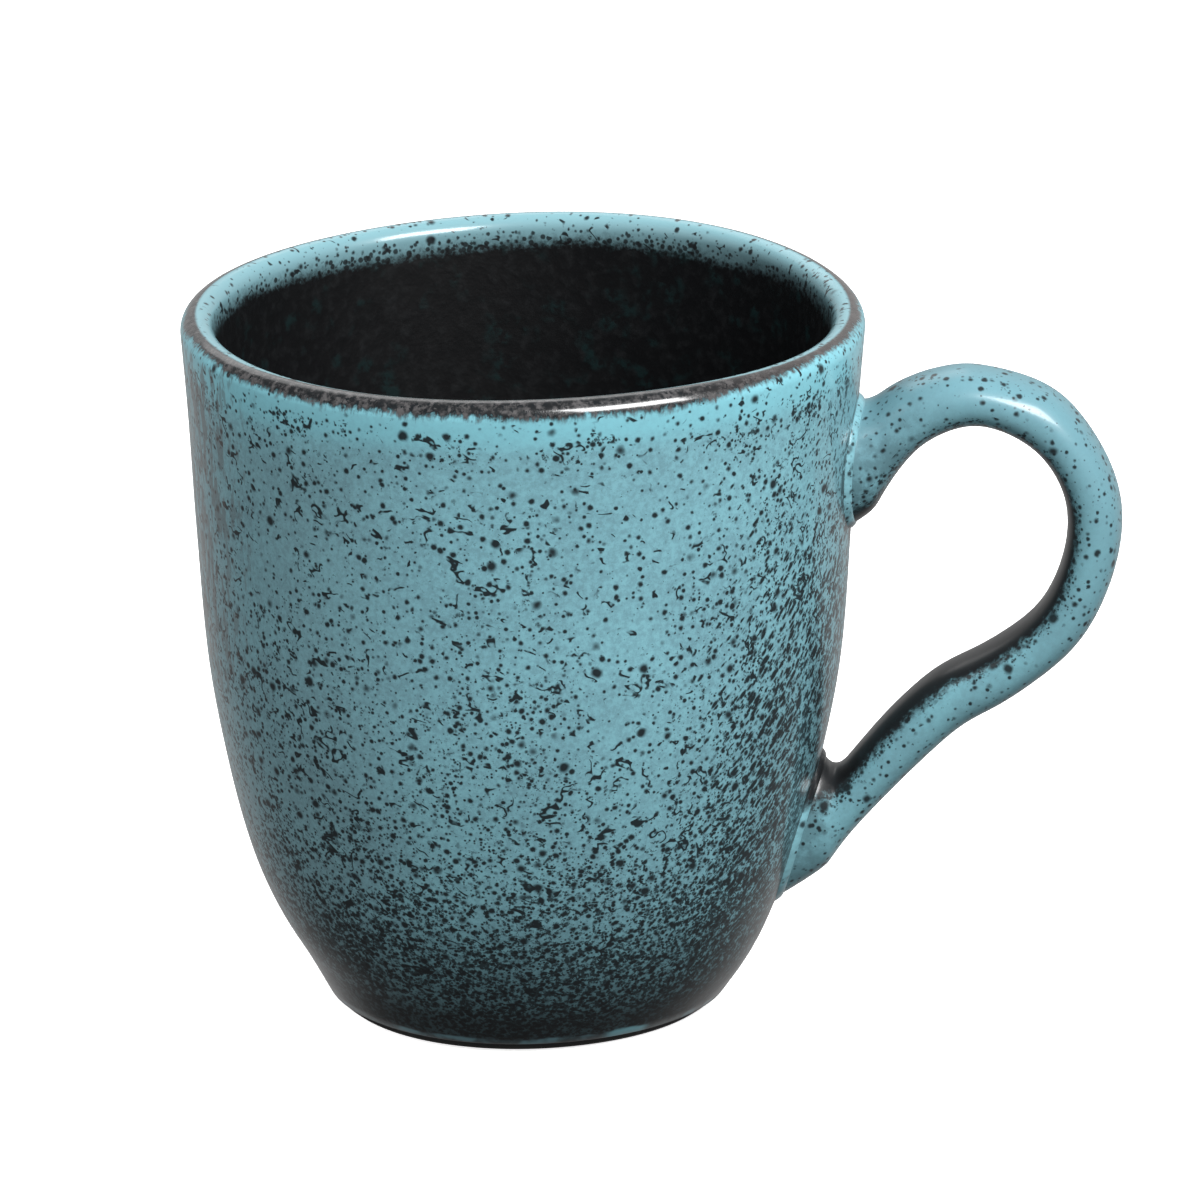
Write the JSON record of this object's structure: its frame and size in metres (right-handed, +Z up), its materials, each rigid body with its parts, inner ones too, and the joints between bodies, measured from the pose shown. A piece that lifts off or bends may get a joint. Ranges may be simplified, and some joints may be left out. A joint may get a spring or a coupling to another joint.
{
  "type": "ceramic mug",
  "caption": "Glazed stoneware mug with a rounded bowl, a slightly flared mouth, a low foot ring and a pulled loop handle bonded to one side, for hot drinks.",
  "frame": {"origin": "centre of the foot ring, on the surface that the mug stands on", "axes": "+Z up out of the mouth, +X towards the handle, +Y to the side of the handle"},
  "size_m": [0.1244, 0.09, 0.0955],
  "materials": {
    "stoneware": "matte",
    "slip": "satin",
    "turquoise_glaze": "satin",
    "black_glaze": "satin",
    "handle_turquoise_glaze": "satin"
  },
  "bodies": {
    "root": {"cup_body": "stoneware", "handle": "stoneware", "upper_slip_joint": "slip", "lower_slip_joint": "slip", "outer_glaze": "turquoise_glaze", "liner_glaze": "black_glaze", "handle_glaze": "handle_turquoise_glaze"}
  },
  "joints": []
}
